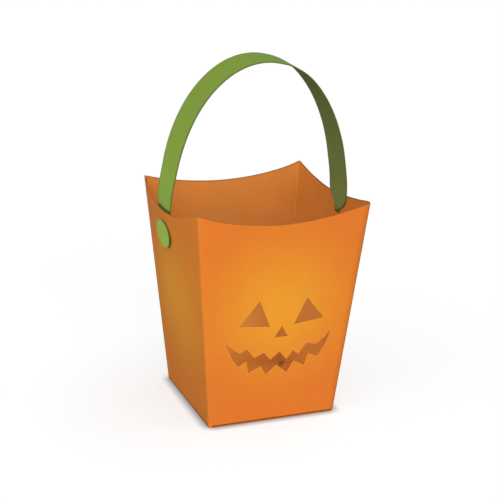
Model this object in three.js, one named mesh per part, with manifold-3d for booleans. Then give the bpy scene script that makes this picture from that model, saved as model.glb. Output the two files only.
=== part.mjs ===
// Card treat pail with a jack-o'-lantern face and a strap handle, in millimetres, +Z up.
//
// The pail is one blank of card: four like walls that lean and bow outwards, a glue flap that closes
// the last corner, and a bottom panel glued over three tabs. A strap of green card is the handle. Each
// end of it stands inside a side wall, narrows to a neck, passes out through a slot and ends in a lock
// head that is too wide to slip back. The front wall faces -Y and the floor is z = 0.

import * as THREE from 'three';
import * as BufferGeometryUtils from 'three/addons/utils/BufferGeometryUtils.js';
import Module from 'manifold-3d';

const wasm = await Module();
wasm.setup();

// Pail
const pailHeight = 140; // floor to the four corner peaks
const topSide = 110; // across two walls outside, at the peaks
const baseSide = 84; // across two walls outside, at the floor
const cardThickness = 0.6;
const foldRadius = 1.6; // outside of the corner folds
const rimDip = 8; // how far each rim sinks between its two peaks
const sideBow = 5.6; // how far the side walls bow outwards in the middle of the rim
const frontBow = 2.2; // the same for the front and back walls
const creaseGap = 0.2; // between two panels at their crease
const glueGap = 0.2; // glue line between two layers of card

// Glue flap, inside the left wall at the back corner
const flapWidth = 14;
const flapBevel = 6; // slope of its two ends
const flapTopMargin = 3; // below the rim

// Glue tabs, on the bottom panel inside the front and side walls
const tabDepth = 15;
const tabStandoff = 0.3; // from the wall that each tab folds from

// Face, in the plane of the front wall: across from its middle, and up the slope from the floor
const eyeWidth = 19.6;
const eyeHeight = 17;
const eyeOuterRise = 2.2; // outer corner above the inner corner
const eyePeakInset = 7.6; // peak outwards from the inner corner
const eyeSpacing = 16; // between the two inner corners
const eyeLevel = 65.8;
const noseWidth = 8.6;
const noseHeight = 6.3;
const noseLevel = 58.1;
const eyesOffset = 1.6; // eyes and nose sit a little right of the mouth
const mouthLevel = 45.4; // middle of the mouth

// Slots in the two side walls
const slotDrop = 10.5; // below the lowest point of the rim
const slotWidth = 3;
const slotEndPlay = 0.8; // beside the neck

// Handle
const strapWidth = 29.6;
const strapThickness = 0.6;
const neckWidth = 10;
const wallPlay = 0.4; // between the strap and the wall, inside at the slot and outside at the head
const shoulderLength = 14;
const shoulderRise = 7; // top of the shoulders above the lowest point of the rim
const headWidth = 27.4;
const headLength = 18.3;
const headRise = 3.2; // top of the lock head above the slot
const neckBend = 1.3; // half the height over which the neck crosses the wall
const legRise = 5; // foot of the arch above the lowest point of the rim
const archRise = 90.8; // crown above the lowest point of the rim
const handleLean = 3.7; // degrees to the front, as far as the play in the slots lets it

// What follows from them
const lean = (topSide - baseSide) / 2 / pailHeight;
const slope = Math.hypot(1, lean); // length up the slope for each unit of height
const wallSpan = cardThickness * slope; // card measured level
const rimLow = pailHeight - rimDip;
const slotHeight = rimLow - slotDrop;
const wallFoot = cardThickness + glueGap;
const deep = 4 * topSide; // longer than the pail, for cutters

// Pieces of each curve, and of each wall across and up
const curveSteps = 20;
const foldSteps = 6;
const acrossSteps = 16;
const upSteps = 8;

// Outside half-width of the pail at a height, as it would be with flat walls.
function halfSide(z) {
  return baseSide / 2 + lean * z;
}

// Outside of a side wall in its middle. The bow grows evenly from nothing at the floor.
function sideMiddle(z) {
  return halfSide(z) + sideBow * z / rimLow;
}

// A closed geometry as a solid that can be joined and cut.
function solid(geometry) {
  const bare = geometry.index ? geometry.toNonIndexed() : geometry.clone();
  bare.deleteAttribute('normal');
  bare.deleteAttribute('uv');
  const merged = BufferGeometryUtils.mergeVertices(bare, 1e-4);
  return new wasm.Manifold(new wasm.Mesh({
    numProp: 3,
    vertProperties: new Float32Array(merged.attributes.position.array),
    triVerts: new Uint32Array(merged.index.array),
  }));
}

// The solid as a named mesh.
function meshOf(body, name, material) {
  const { vertProperties, triVerts } = body.getMesh();
  const geometry = new THREE.BufferGeometry();
  geometry.setAttribute('position', new THREE.BufferAttribute(vertProperties, 3));
  geometry.setIndex(new THREE.BufferAttribute(triVerts, 1));
  const flat = geometry.toNonIndexed();
  flat.computeVertexNormals();
  const mesh = new THREE.Mesh(flat, material);
  mesh.name = name;
  return mesh;
}

function polygon(points) {
  return new THREE.Shape(points.map(([x, y]) => new THREE.Vector2(x, y)));
}

function extrude(shape, depth, curveSegments = curveSteps) {
  return new THREE.ExtrudeGeometry(shape, { depth, bevelEnabled: false, curveSegments });
}

// Square with round corners, as wide as twice half.
function roundedSquare(half, radius) {
  const flat = half - radius;
  const shape = new THREE.Shape();
  shape.absarc(flat, flat, radius, 0, Math.PI / 2);
  shape.absarc(-flat, flat, radius, Math.PI / 2, Math.PI);
  shape.absarc(-flat, -flat, radius, Math.PI, 1.5 * Math.PI);
  shape.absarc(flat, -flat, radius, 1.5 * Math.PI, 2 * Math.PI);
  shape.closePath();
  return shape;
}

// Level ring of the pail's skin, inset from its outside: a square with round corners whose sides bow
// outwards, most in their middle and not at all at the corners.
function ring(z, inset, radius) {
  const whole = halfSide(z);
  const half = whole - inset;
  const flat = half - radius;
  const quarterRing = [];
  for (let i = 0; i <= foldSteps; i += 1) {
    const angle = Math.PI / 2 * i / foldSteps;
    quarterRing.push([flat + radius * Math.cos(angle), flat + radius * Math.sin(angle)]);
  }
  for (let i = 1; i < acrossSteps; i += 1) {
    quarterRing.push([flat * (1 - 2 * i / acrossSteps), half]);
  }
  const centre = new THREE.Vector2();
  const points = [];
  for (let turn = 0; turn < 4; turn += 1) {
    for (const [x, y] of quarterRing) {
      points.push(new THREE.Vector2(x, y).rotateAround(centre, turn * Math.PI / 2));
    }
  }
  const grown = z / rimLow;
  return points.map(({ x, y }) => new THREE.Vector3(
    x + sideBow * grown * x / half * (1 - (y / whole) ** 2),
    y + frontBow * grown * y / half * (1 - (x / whole) ** 2),
    z,
  ));
}

// Leaning block from the floor to above the peaks, inside a stack of level rings.
function bowedBlock(inset, radius) {
  const rings = [];
  for (let row = 0; row <= upSteps; row += 1) {
    rings.push(ring((pailHeight + rimDip) * row / upSteps, inset, radius));
  }
  const around = rings[0].length;
  const foot = around * rings.length;
  const roof = foot + 1;
  const index = [];
  for (let i = 0; i < around; i += 1) {
    const next = (i + 1) % around;
    for (let row = 0; row < upSteps; row += 1) {
      const low = row * around;
      const high = low + around;
      index.push(low + i, low + next, high + next, low + i, high + next, high + i);
    }
    const last = upSteps * around;
    index.push(foot, next, i, roof, last + i, last + next);
  }
  const middles = [new THREE.Vector3(), new THREE.Vector3(0, 0, pailHeight + rimDip)];
  const geometry = new THREE.BufferGeometry().setFromPoints([...rings.flat(), ...middles]);
  geometry.setIndex(index);
  return solid(geometry);
}

// Quarter turns that carry the front wall onto each wall.
const FRONT = 0;
const RIGHT = 1;
const BACK = 2;
const LEFT = 3;

// A cutter with an outline drawn on the flat wall (across, and up the slope), square to that wall and
// long enough to pass through its bow.
function throughWall(shape, side) {
  const reach = sideBow + frontBow + 4 * cardThickness;
  const geometry = extrude(shape, 2 * reach);
  geometry.translate(0, 0, -reach);
  const across = new THREE.Vector3(1, 0, 0);
  const up = new THREE.Vector3(0, -lean, 1).normalize();
  const outward = new THREE.Vector3().crossVectors(across, up);
  const place = new THREE.Matrix4().makeBasis(across, up, outward);
  place.setPosition(0, -halfSide(0), 0);
  geometry.applyMatrix4(place);
  geometry.rotateZ(side * Math.PI / 2);
  return solid(geometry);
}

// A level cutter from the middle of the pail out through a wall, its outline drawn across and up.
function levelCutter(shape, side) {
  const geometry = extrude(shape, deep);
  geometry.rotateX(Math.PI / 2);
  geometry.rotateZ(side * Math.PI / 2);
  return solid(geometry);
}

// Quarter of the plan that belongs to one wall, short of the diagonals by half a crease.
function quarter(side) {
  const back = creaseGap / Math.SQRT2;
  const wedge = extrude(polygon([[0, -back], [-deep, -deep - back], [deep, -deep - back]]), deep);
  wedge.translate(0, 0, wallFoot);
  wedge.rotateZ(side * Math.PI / 2);
  return solid(wedge);
}

// What is cut away above the hollow rim of a wall.
function aboveRim(side) {
  const half = topSide / 2;
  const sky = new THREE.Shape();
  sky.moveTo(-deep, pailHeight);
  sky.lineTo(-half, pailHeight);
  sky.quadraticCurveTo(0, pailHeight - 2 * rimDip, half, pailHeight);
  sky.lineTo(deep, pailHeight);
  sky.lineTo(deep, deep);
  sky.lineTo(-deep, deep);
  sky.closePath();
  return levelCutter(sky, side);
}

// Skin of card of a given inset from the outside of the pail.
function skin(inset, outerRadius, innerRadius) {
  return bowedBlock(inset, outerRadius).subtract(bowedBlock(inset + wallSpan, innerRadius));
}

const shell = skin(0, foldRadius, foldRadius - cardThickness);

function wall(side, cutters) {
  return cutters.reduce(
    (body, cutter) => body.subtract(cutter),
    shell.intersect(quarter(side)).subtract(aboveRim(side)),
  );
}

function face() {
  return [eye(1), eye(-1), nose(), mouth()].map((shape) => throughWall(shape, FRONT));
}

// Right eye, a triangle that leans outwards. The left eye is its mirror image.
function eye(handed) {
  const inner = eyeSpacing / 2;
  const corners = [
    [inner, 0],
    [inner + eyeWidth, eyeOuterRise],
    [inner + eyePeakInset, eyeHeight],
  ];
  return polygon(corners.map(([x, y]) => [eyesOffset + handed * x, eyeLevel + y]));
}

function nose() {
  return polygon([
    [eyesOffset - noseWidth / 2, noseLevel],
    [eyesOffset + noseWidth / 2, noseLevel],
    [eyesOffset, noseLevel + noseHeight],
  ]);
}

// Wide grin with upturned ends and uneven teeth, drawn about its own middle.
function mouth() {
  const shape = new THREE.Shape();
  shape.moveTo(-35, 13.2);
  shape.quadraticCurveTo(-31, 8, -24.8, 4.2);
  shape.lineTo(-20.3, 6.7);
  shape.lineTo(-15.2, 0);
  shape.lineTo(-9, 2.8);
  shape.lineTo(-4.5, -2.7);
  shape.lineTo(1.4, 2.5);
  shape.lineTo(6.3, -3.8);
  shape.lineTo(10.3, 2.2);
  shape.lineTo(14.1, -1);
  shape.lineTo(19, 6.1);
  shape.lineTo(25.5, 4.7);
  shape.quadraticCurveTo(30.2, 7, 34.4, 12.8);
  shape.quadraticCurveTo(33.6, 5.3, 26.8, -3.9);
  shape.lineTo(20.4, -0.9);
  shape.lineTo(18.4, -9);
  shape.lineTo(11.1, -5);
  shape.lineTo(6.9, -12.6);
  shape.lineTo(-0.2, -6.3);
  shape.lineTo(-7.1, -12.2);
  shape.lineTo(-10.5, -5.9);
  shape.lineTo(-18.4, -9.8);
  shape.lineTo(-20.1, -1.3);
  shape.lineTo(-25.5, -4.6);
  shape.lineTo(-28.6, -0.5);
  shape.quadraticCurveTo(-33.2, 8.2, -35, 13.2);
  return new THREE.Shape(shape.getPoints(5).slice(0, -1).map((p) => p.setY(p.y + mouthLevel)));
}

// Slot with round ends for the neck of the handle.
function slot(side) {
  const radius = slotWidth / 2;
  const reach = neckWidth / 2 + slotEndPlay - radius;
  const shape = new THREE.Shape();
  shape.absarc(reach, slotHeight, radius, -Math.PI / 2, Math.PI / 2);
  shape.absarc(-reach, slotHeight, radius, Math.PI / 2, 1.5 * Math.PI);
  shape.closePath();
  return levelCutter(shape, side);
}

// Glue flap: a strip that follows the back corner and lies on the inside of the left wall.
function seamFlap() {
  const inset = wallSpan + glueGap * slope;
  const rear = (z) => halfSide(z) - wallSpan - (foldRadius - cardThickness);
  const low = wallFoot + cardThickness + creaseGap;
  const high = rimLow - flapTopMargin;
  const outline = polygon([
    [-rear(low), low * slope],
    [flapWidth - rear(low), (low + flapBevel) * slope],
    [flapWidth - rear(high), (high - flapBevel) * slope],
    [-rear(high), high * slope],
  ]);
  return skin(inset, creaseGap, creaseGap).intersect(throughWall(outline, LEFT));
}

function bottomPanel() {
  const flat = halfSide(0) - foldRadius;
  const shape = new THREE.Shape();
  shape.absarc(flat, flat, foldRadius, 0, Math.PI / 2);
  shape.absarc(-flat, flat, foldRadius, Math.PI / 2, Math.PI);
  shape.absarc(-flat, -flat, foldRadius, Math.PI, 1.5 * Math.PI);
  shape.absarc(flat, -flat, foldRadius, 1.5 * Math.PI, 2 * Math.PI);
  shape.closePath();
  return solid(extrude(shape, cardThickness, foldSteps));
}

// Glue tab of one wall: a strip with mitred ends, so that neighbours meet but don't cross.
function tab(side) {
  const edge = halfSide(wallFoot) - wallSpan - tabStandoff;
  const mitre = creaseGap + foldRadius;
  const outline = polygon([
    [-edge + mitre, -edge],
    [edge - mitre, -edge],
    [edge - mitre - tabDepth, tabDepth - edge],
    [-edge + mitre + tabDepth, tabDepth - edge],
  ]);
  const geometry = extrude(outline, cardThickness);
  geometry.translate(0, 0, wallFoot);
  geometry.rotateZ(side * Math.PI / 2);
  return solid(geometry);
}

const headTop = slotHeight + headRise;
const headMiddle = headTop - headLength / 2;
const headPlane = sideMiddle(headTop) + wallPlay + strapThickness / 2;
const legPlane = sideMiddle(slotHeight) - wallSpan - wallPlay - strapThickness / 2;

// Middle line of the right half of the strap, from the lock head up to the crown: upright outside the
// wall, across it in an S through the slot, upright inside it, and then a quarter of an ellipse.
function strapLine() {
  const line = [new THREE.Vector2(headPlane, headMiddle)];
  const crossSteps = 12;
  for (let i = 0; i <= crossSteps; i += 1) {
    const part = i / crossSteps;
    const eased = THREE.MathUtils.smoothstep(part, 0, 1);
    const x = THREE.MathUtils.lerp(headPlane, legPlane, eased);
    line.push(new THREE.Vector2(x, slotHeight + neckBend * (2 * part - 1)));
  }
  const archFoot = rimLow + legRise;
  const crown = rimLow + archRise - strapThickness / 2;
  const arch = new THREE.EllipseCurve(0, archFoot, legPlane, crown - archFoot, 0, Math.PI / 2);
  line.push(...arch.getPoints(32));
  return line;
}

// Outline of the strap seen from the side: the neck, round shoulders and the arch in full width.
function strapOutline() {
  const half = strapWidth / 2;
  const neck = neckWidth / 2;
  const shoulderTop = rimLow + shoulderRise;
  const shape = new THREE.Shape();
  shape.moveTo(-half, deep);
  shape.lineTo(-half, shoulderTop);
  shape.absellipse(-neck, shoulderTop, half - neck, shoulderLength, Math.PI, 1.5 * Math.PI);
  shape.lineTo(-neck, headMiddle);
  shape.lineTo(neck, headMiddle);
  shape.absellipse(neck, shoulderTop, half - neck, shoulderLength, 1.5 * Math.PI, 2 * Math.PI);
  shape.lineTo(half, deep);
  shape.closePath();
  return shape;
}

// Turns what is drawn in the front view and extruded, so that it runs along Y with its middle at 0.
function alongY(shape, width) {
  const geometry = extrude(shape, width);
  geometry.translate(0, 0, -width / 2);
  geometry.rotateX(Math.PI / 2);
  return geometry;
}

// Oval lock head outside a side wall.
function lockHead(handed) {
  const oval = new THREE.Shape();
  oval.absellipse(0, headMiddle, headWidth / 2, headLength / 2, 0, 2 * Math.PI);
  const geometry = alongY(oval, strapThickness);
  geometry.rotateZ(Math.PI / 2);
  geometry.translate(handed * headPlane, 0, 0);
  return solid(geometry);
}

// The strap as a ribbon of card along its middle line, trimmed to its outline, with a lock head at
// each end. The whole of it leans forwards about the slots.
function handle() {
  const rightHalf = strapLine();
  const leftHalf = rightHalf.slice(0, -1).reverse().map((p) => new THREE.Vector2(-p.x, p.y));
  const line = [...rightHalf, ...leftHalf];
  const offset = (side) => line.map((p, i) => {
    const before = line[Math.max(i - 1, 0)];
    const after = line[Math.min(i + 1, line.length - 1)];
    const along = after.clone().sub(before).normalize();
    return new THREE.Vector2(p.x - side * along.y, p.y + side * along.x);
  });
  const outer = offset(-strapThickness / 2);
  const inner = offset(strapThickness / 2);
  const ribbon = alongY(new THREE.Shape([...outer, ...inner.reverse()]), 2 * strapWidth);
  const outline = alongY(strapOutline(), 2 * deep);
  outline.rotateZ(Math.PI / 2);
  const upright = solid(ribbon).intersect(solid(outline)).add(lockHead(1)).add(lockHead(-1));
  return upright
    .translate([0, 0, -slotHeight])
    .rotate([handleLean, 0, 0])
    .translate([0, 0, slotHeight]);
}

function card(color) {
  return new THREE.MeshStandardMaterial({ color, roughness: 0.6, metalness: 0 });
}

const orangeFront = 0xe8862c;
const orangeWall = 0xe07a2a;
const bareCard = 0xd9822f;
const green = 0x84a244;

const pail = new THREE.Group();
pail.add(meshOf(wall(FRONT, face()), 'front_panel', card(orangeFront)));
pail.add(meshOf(wall(RIGHT, [slot(RIGHT)]), 'right_panel', card(orangeWall)));
pail.add(meshOf(wall(BACK, []), 'back_panel', card(orangeWall)));
pail.add(meshOf(wall(LEFT, [slot(LEFT)]), 'left_panel', card(orangeWall)));
pail.add(meshOf(seamFlap(), 'seam_flap', card(bareCard)));
pail.add(meshOf(bottomPanel(), 'bottom_panel', card(orangeWall)));
pail.add(meshOf(tab(FRONT), 'front_tab', card(bareCard)));
pail.add(meshOf(tab(RIGHT), 'right_tab', card(bareCard)));
pail.add(meshOf(tab(LEFT), 'left_tab', card(bareCard)));

const part = new THREE.Group();
part.add(pail);
part.add(meshOf(handle(), 'handle', card(green)));

export default part;
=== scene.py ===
"""Dresses the card treat pail: folded printed walls, a cut-through face and a green strap.

Everything is in metres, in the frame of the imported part: the floor is z = 0 and the front wall
faces -Y. The walls and tabs are sheets of card, each worked out as a surface of two flat parameters
with a thickness, and they meet at the middle of their folds as the panels of one folded blank do.
"""

import logging
import math
from dataclasses import dataclass, field
from enum import Enum, IntEnum

import bpy
import numpy as np
from mathutils import Matrix, Vector
from mathutils.geometry import delaunay_2d_cdt


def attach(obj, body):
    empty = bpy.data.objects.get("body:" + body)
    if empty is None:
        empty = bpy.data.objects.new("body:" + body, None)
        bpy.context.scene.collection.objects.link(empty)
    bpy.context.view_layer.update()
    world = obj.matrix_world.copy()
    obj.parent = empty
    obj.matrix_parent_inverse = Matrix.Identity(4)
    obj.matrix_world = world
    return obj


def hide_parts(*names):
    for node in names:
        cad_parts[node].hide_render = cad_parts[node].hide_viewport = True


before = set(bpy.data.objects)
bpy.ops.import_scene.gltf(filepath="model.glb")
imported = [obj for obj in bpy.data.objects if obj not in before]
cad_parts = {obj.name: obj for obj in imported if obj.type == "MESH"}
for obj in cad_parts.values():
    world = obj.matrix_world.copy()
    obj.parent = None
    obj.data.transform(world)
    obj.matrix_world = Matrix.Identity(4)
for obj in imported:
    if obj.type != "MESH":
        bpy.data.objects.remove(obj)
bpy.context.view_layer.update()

log = logging.getLogger("treat_pail")

MM = 0.001
HAIR = 1e-6
QUARTER = math.pi / 2
SHARP_ANGLE = math.radians(38)

Colour = tuple[float, float, float, float]
Table = tuple[tuple[float, float], ...]
Value = bpy.types.NodeSocket | float | Colour


class Side(IntEnum):
    """Walls of the pail, as quarter turns from the front."""

    FRONT = 0
    RIGHT = 1
    BACK = 2
    LEFT = 3


class Face(IntEnum):
    """Faces of a sheet of card, which are also its material slots."""

    OUTSIDE = 0
    INSIDE = 1
    CUT = 2


class Grain(Enum):
    """Kinds of card surface: printed and pressed, or bare."""

    SMOOTH = 0.6
    BARE = 1.0


# Height of each rim above its parabola: rows of a place on the wall, in x or y, and a height, in mm
RIM_UNEVENNESS: dict[Side, Table] = {
    Side.FRONT: ((-55, 0), (-48, -0.5), (-42, -0.8), (-22, -0.75), (-2, -0.65), (13, -0.35),
                 (28, 0), (40, 0.2), (55, 0)),
    Side.RIGHT: ((-55, 0), (-48, 1.35), (-40, 1.45), (-28, 1.35), (-18, 1.0), (0, 0), (12, -0.6),
                 (22, -0.8), (32, -0.5), (38, -0.35), (44, 0.2), (49, 0.7), (55, 1.4)),
    Side.BACK: ((-55, -1.2), (-45, -1.2), (-28, -0.85), (-2, -0.57), (23, -0.2), (42, 0.28),
                (48.5, 0.64), (55, 1.4)),
    Side.LEFT: ((-55, 0), (-45, -0.6), (-25, -1.6), (0, -2.0), (25, -1.8), (45, -1.4), (55, -1.2)),
}


def smooth(share: np.ndarray) -> np.ndarray:
    """Smooth step from 0 to 1 over a share that is cut off at both ends."""
    held = np.clip(share, 0, 1)
    return held ** 2 * (3 - 2 * held)


def eased_table(places: np.ndarray, table: Table) -> np.ndarray:
    """Values of a table between its rows, along a smooth curve.

    Each stretch is the cubic curve whose slopes at both ends are the harmonic mean of the
    neighbouring stretches' slopes, or nothing where those differ in sign. Beyond the table its end
    values hold.

    Args:
        places: Where to read the table.
        table: Rows of a place and its value, with rising places.

    Returns:
        One value per place.
    """
    known, value = np.array(table).T
    step = np.diff(known)
    rise = np.diff(value) / step
    slopes = np.zeros(len(known))
    both = rise[:-1] * rise[1:]
    slopes[1:-1] = np.where(both > 0, 2 * both / np.where(both > 0, rise[:-1] + rise[1:], 1), 0)
    held = np.clip(places, known[0], known[-1])
    row = np.clip(np.searchsorted(known, held) - 1, 0, len(step) - 1)
    t = (held - known[row]) / step[row]
    return (value[row] * (1 + 2 * t) * (1 - t) ** 2 + value[row + 1] * t ** 2 * (3 - 2 * t)
            + step[row] * t * (1 - t) * (slopes[row] * (1 - t) - slopes[row + 1] * t))


@dataclass(frozen=True)
class Corner:
    """How a wall ends at a corner of the pail.

    Attributes:
        lap: How far the outside of the fold stays behind the neighbour's outside.
        radius: Outside radius of the fold, 0 for a plain cut edge.
        turn: Angle of the fold that belongs to this wall.
        wear_and_painted_light: True where the fold is lighter, as worn print and a painted
            highlight, False where it gets painted shade as a darker crease.
    """

    lap: float
    radius: float
    turn: float
    wear_and_painted_light: bool = False


@dataclass(frozen=True)
class PailShape:
    """Sizes of the folded pail and the curved surface that they describe."""

    height: float = 140 * MM
    top_side: float = 110 * MM
    base_side: float = 84 * MM
    card: float = 0.6 * MM
    fold_radius: float = 1.6 * MM
    seam_radius: float = 1.0 * MM
    seam_setback: float = 0.35 * MM
    foot_radius: float = 1.0 * MM
    wall_foot: float = 0.8 * MM
    rim_dip: float = 8 * MM
    side_bow: float = 5.6 * MM
    front_bow: float = 2.2 * MM
    glue_gap: float = 0.2 * MM

    @property
    def lean(self) -> float:
        """How far a wall leans out for each unit of height."""
        return (self.top_side - self.base_side) / 2 / self.height

    @property
    def slope(self) -> float:
        """Length up a wall for each unit of height."""
        return math.hypot(1, self.lean)

    @property
    def span(self) -> float:
        """Thickness of a wall measured level."""
        return self.card * self.slope

    @property
    def rim_low(self) -> float:
        """Height of the lowest point of a rim."""
        return self.height - self.rim_dip

    @property
    def fold(self) -> Corner:
        """Half of an ordinary fold between two walls."""
        return Corner(0.0, self.fold_radius, QUARTER / 2)

    @property
    def front_fold(self) -> Corner:
        """Half of the fold that points to the viewer, which is lighter: worn print and a painted
        highlight.
        """
        return Corner(0.0, self.fold_radius, QUARTER / 2, wear_and_painted_light=True)

    @property
    def seam_fold(self) -> Corner:
        """Half of the fold of the glue flap, which lies behind the left wall."""
        return Corner(self.span + self.glue_gap, self.seam_radius, QUARTER / 2)

    @property
    def seam_cut(self) -> Corner:
        """Plain cut edge of the left wall, just short of the back wall's outside."""
        return Corner(self.seam_setback, 0.0, 0.0)

    def half_side(self, z: np.ndarray) -> np.ndarray:
        """Half-width of the pail outside, as it would be with flat walls."""
        return self.base_side / 2 + self.lean * z

    def rim(self, side: Side, place: np.ndarray) -> np.ndarray:
        """Height of a rim: a parabola that sinks between its two peaks, and its own unevenness."""
        sunk = self.height - self.rim_dip * (1 - (place / (self.top_side / 2)) ** 2)
        return sunk + eased_table(place / MM, RIM_UNEVENNESS[side]) * MM

    def bowed(self, points: np.ndarray) -> np.ndarray:
        """Bows the flat walls outwards.

        A point moves out by the wall's bow times its height over the rim's height, times one minus
        the square of its place across the wall. Near a corner the move fades from one wall to the
        other with the larger of the two coordinates.

        Args:
            points: Points on the flat-walled pail, one per row.

        Returns:
            The moved points.
        """
        x, y, z = points.T
        whole = self.half_side(z)
        grown = z / self.rim_low
        most = np.maximum(np.maximum(np.abs(x), np.abs(y)), MM)
        return np.stack([
            x + self.side_bow * grown * x / most * (1 - np.minimum((y / whole) ** 2, 1)),
            y + self.front_bow * grown * y / most * (1 - np.minimum((x / whole) ** 2, 1)),
            z,
        ], axis=1)

    def placed(self, side: Side, x: np.ndarray, y: np.ndarray, z: np.ndarray) -> np.ndarray:
        """Turns points of a front wall by quarter turns to a side of the pail, and bows them.

        Args:
            side: Wall that the points belong to.
            x: Places across the wall.
            y: Places in depth, negative in front.
            z: Heights.

        Returns:
            Points in space, one per row.
        """
        cos, sin = math.cos(side * QUARTER), math.sin(side * QUARTER)
        return self.bowed(np.stack([x * cos - y * sin, x * sin + y * cos, z], axis=1))


def add_object(name: str, data: bpy.types.ID) -> bpy.types.Object:
    """Adds an object with its data to the scene.

    Args:
        name: Name of the object.
        data: Mesh, lamp or camera that it shows.

    Returns:
        The object, linked to the scene.
    """
    piece = bpy.data.objects.new(name, data)
    bpy.context.scene.collection.objects.link(piece)
    return piece


def add_node(tree: bpy.types.NodeTree, kind: str, inputs: dict[str | int, Value] | None = None,
             **settings: object) -> bpy.types.Node:
    """Adds a shader node.

    Args:
        tree: Node tree that it joins.
        kind: Its type without the beginning that all shader nodes share.
        inputs: Its inputs by name or number: a socket to link, or a value to set.
        settings: Its properties.

    Returns:
        The node.
    """
    node = tree.nodes.new(f"ShaderNode{kind}")
    for key, value in settings.items():
        setattr(node, key, value)
    for key, value in (inputs or {}).items():
        if isinstance(value, bpy.types.NodeSocket):
            tree.links.new(value, node.inputs[key])
        else:
            node.inputs[key].default_value = value
    return node


def worked_out(tree: bpy.types.NodeTree, operation: str, *values: Value,
               clamp: bool = False) -> bpy.types.NodeSocket:
    """Result of a sum on sockets and plain numbers.

    Args:
        tree: Node tree that the sum joins.
        operation: Name of the sum.
        values: What it works on, in order.
        clamp: True to hold the result between 0 and 1.

    Returns:
        The socket with the result.
    """
    inputs = dict(enumerate(values))
    return add_node(tree, "Math", inputs, operation=operation, use_clamp=clamp).outputs[0]


def remapped(tree: bpy.types.NodeTree, value: Value, low: float, high: float,
             span: tuple[float, float] = (0.0, 1.0), way: str = "LINEAR") -> bpy.types.NodeSocket:
    """A value carried from one range to another and held at its ends.

    Args:
        tree: Node tree that it joins.
        value: Socket to carry over.
        low: Result at the start of the range.
        high: Result at its end.
        span: Start and end of the value's range.
        way: How the result goes from one to the other.

    Returns:
        The socket with the result.
    """
    inputs = {"Value": value, "From Min": span[0], "From Max": span[1], "To Min": low,
              "To Max": high}
    return add_node(tree, "MapRange", inputs, interpolation_type=way).outputs["Result"]


def mixed(tree: bpy.types.NodeTree, share: Value, first: Value, second: Value,
          blend: str = "MIX") -> bpy.types.NodeSocket:
    """A colour mixed with a second one.

    Args:
        tree: Node tree that it joins.
        share: How much of the second colour shows.
        first: Colour below.
        second: Colour above.
        blend: How the second colour acts on the first.

    Returns:
        The socket with the mixed colour.
    """
    inputs = {0: share, 6: first, 7: second}
    return add_node(tree, "Mix", inputs, data_type="RGBA", blend_type=blend).outputs[2]


def noise(tree: bpy.types.NodeTree, place: Value, scale: Value, detail: float,
          **inputs: Value) -> bpy.types.NodeSocket:
    """Noise about 0.5 at a place, with a scale in waves to the metre."""
    inputs = {"Vector": place, "Scale": scale, "Detail": detail, **inputs}
    return add_node(tree, "TexNoise", inputs).outputs["Fac"]


def new_group(name: str, inputs: dict[str, float | None], outputs: list[str]) -> bpy.types.NodeTree:
    """Makes an empty shader node group.

    Args:
        name: Name of the group.
        inputs: Input names with their default numbers, None for a vector.
        outputs: Names of the number outputs.

    Returns:
        The group with its input and output nodes.
    """
    group = bpy.data.node_groups.new(name, "ShaderNodeTree")
    for label, value in inputs.items():
        kind = "NodeSocketVector" if value is None else "NodeSocketFloat"
        socket = group.interface.new_socket(label, in_out="INPUT", socket_type=kind)
        if value is not None:
            socket.default_value = value
    for label in outputs:
        group.interface.new_socket(label, in_out="OUTPUT", socket_type="NodeSocketFloat")
    group.nodes.new("NodeGroupInput")
    group.nodes.new("NodeGroupOutput")
    return group


@dataclass(frozen=True)
class PaperFibres:
    """Fine fibres over soft clouds of the paper's formation, with scales in waves to the metre."""

    cloud_scale: float = 55
    cloud_detail: float = 3
    cloud_share: float = 0.55
    fibre_scale: float = 1500
    fibre_detail: float = 4
    fibre_roughness: float = 0.65
    fibre_distortion: float = 0.6
    fibre_share: float = 0.45

    def build(self) -> bpy.types.NodeTree:
        """Makes the node group.

        Returns:
            The group, whose Tone is near 0.5 and drives colour, and whose Height drives the bump.
        """
        group = new_group("paper_fibres", {"Vector": None, "Fineness": 1.0}, ["Tone", "Height"])
        source, sink = group.nodes["Group Input"].outputs, group.nodes["Group Output"].inputs
        clouds = noise(group, source["Vector"], self.cloud_scale, self.cloud_detail)
        scale = worked_out(group, "MULTIPLY", source["Fineness"], self.fibre_scale)
        fibres = noise(group, source["Vector"], scale, self.fibre_detail,
                       Roughness=self.fibre_roughness, Distortion=self.fibre_distortion)
        faint = worked_out(group, "MULTIPLY", clouds, self.cloud_share)
        tone = worked_out(group, "MULTIPLY_ADD", fibres, self.fibre_share, faint)
        group.links.new(tone, sink["Tone"])
        group.links.new(fibres, sink["Height"])
        return group


@dataclass(frozen=True)
class CardWearAndHighlight:
    """Where the core colour shows: in flecks of worn print along cut edges, and softly along folds
    as worn print with a painted highlight.
    """

    fleck_scale: float = 700
    fleck_detail: float = 3
    fleck_span: tuple[float, float] = (0.42, 0.62)
    fold_least: float = 0.10
    fold_most: float = 0.24

    def build(self) -> bpy.types.NodeTree:
        """Makes the node group.

        Returns:
            The group, whose Mask is 1 where the core colour shows.
        """
        group = new_group("card_wear_and_highlight", {"Vector": None, "Edge": 0.0, "Fold": 0.0}, ["Mask"])
        source, sink = group.nodes["Group Input"].outputs, group.nodes["Group Output"].inputs
        flecks = noise(group, source["Vector"], self.fleck_scale, self.fleck_detail)
        patches = remapped(group, flecks, 0.0, 1.0, self.fleck_span, "SMOOTHSTEP")
        soft = remapped(group, flecks, self.fold_least, self.fold_most)
        edge = worked_out(group, "MULTIPLY", patches, source["Edge"])
        # Along folds the core colour shows softly: worn print with a painted highlight.
        fold = worked_out(group, "MULTIPLY", soft, source["Fold"])
        group.links.new(worked_out(group, "MAXIMUM", edge, fold), sink["Mask"])
        return group


@dataclass(frozen=True)
class PaperGroups:
    """Node groups that more than one card finish uses."""

    fibres: bpy.types.NodeTree
    wear_and_highlight: bpy.types.NodeTree


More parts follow.
